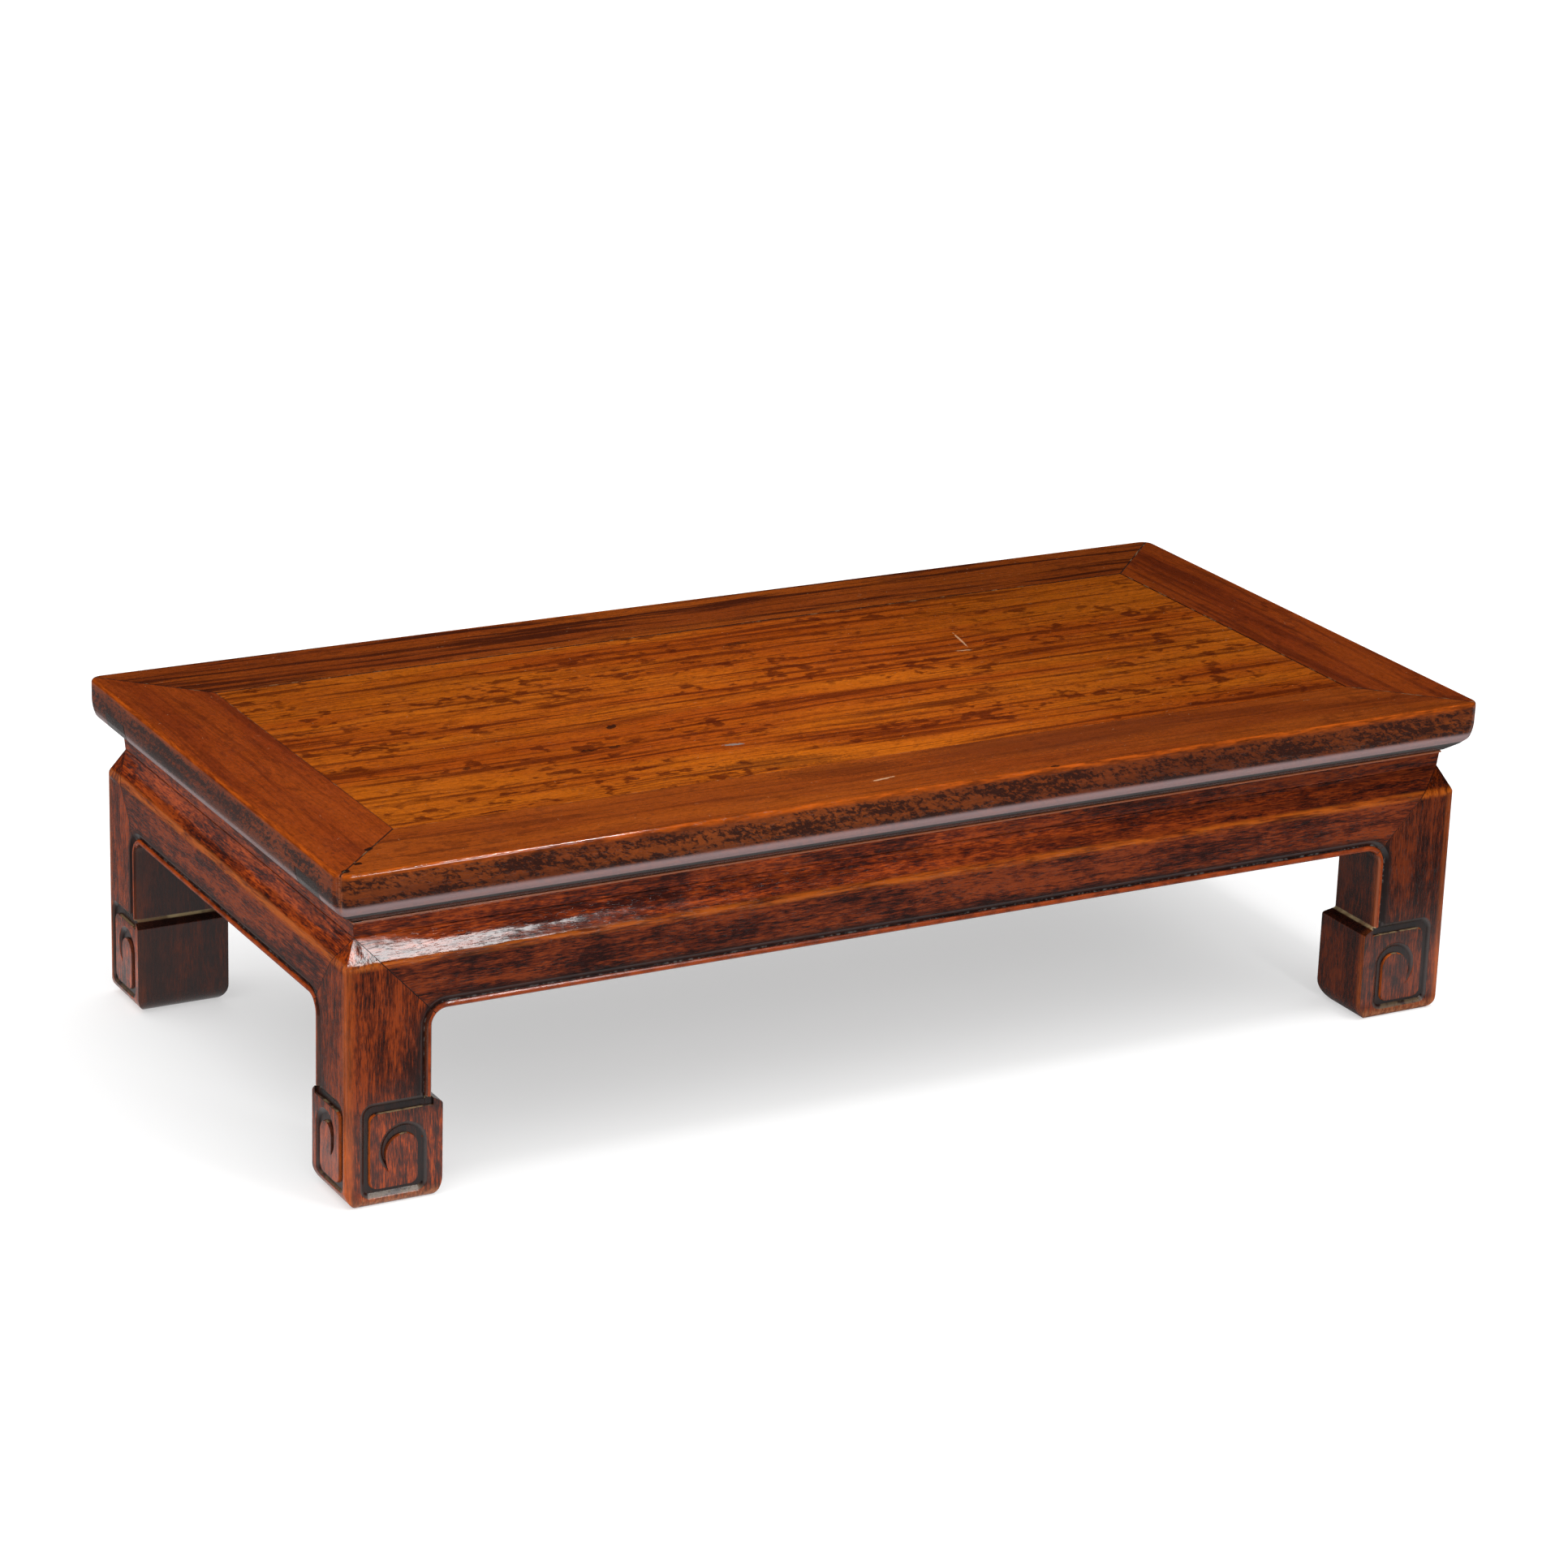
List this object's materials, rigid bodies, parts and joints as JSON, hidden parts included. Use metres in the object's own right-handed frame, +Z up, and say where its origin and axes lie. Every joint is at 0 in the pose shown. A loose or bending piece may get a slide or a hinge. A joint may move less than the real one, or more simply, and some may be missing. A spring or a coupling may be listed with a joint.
{
  "type": "kang table",
  "caption": "Low rectangular table: mitred frame round a floating panel, recessed waist, straight beaded aprons and square legs on scroll-carved hoof feet.",
  "frame": {"origin": "on the floor, under the centre of the top", "axes": "+X along the table's length, +Y from the long front side to the back, +Z up"},
  "size_m": [0.8, 0.398, 0.213],
  "materials": {
    "rail_wood": "polished red-brown hardwood, worn amber along the arrises",
    "panel_wood": "polished golden-brown hardwood with dark streaks",
    "apron_wood": "polished red-brown hardwood, dark in the waist and grooves",
    "leg_wood": "polished red-brown hardwood, worn amber along the edges, dark inside",
    "batten_wood": "plain planed hardwood, dull and dusty"
  },
  "bodies": {
    "root": {"top_rail_front": "rail_wood", "top_rail_back": "rail_wood", "top_rail_left": "rail_wood", "top_rail_right": "rail_wood", "top_panel": "panel_wood", "batten_left": "batten_wood", "batten_right": "batten_wood", "apron_front": "apron_wood", "apron_back": "apron_wood", "apron_left": "apron_wood", "apron_right": "apron_wood", "leg_front_left": "leg_wood", "leg_front_right": "leg_wood", "leg_back_left": "leg_wood", "leg_back_right": "leg_wood"}
  },
  "joints": []
}
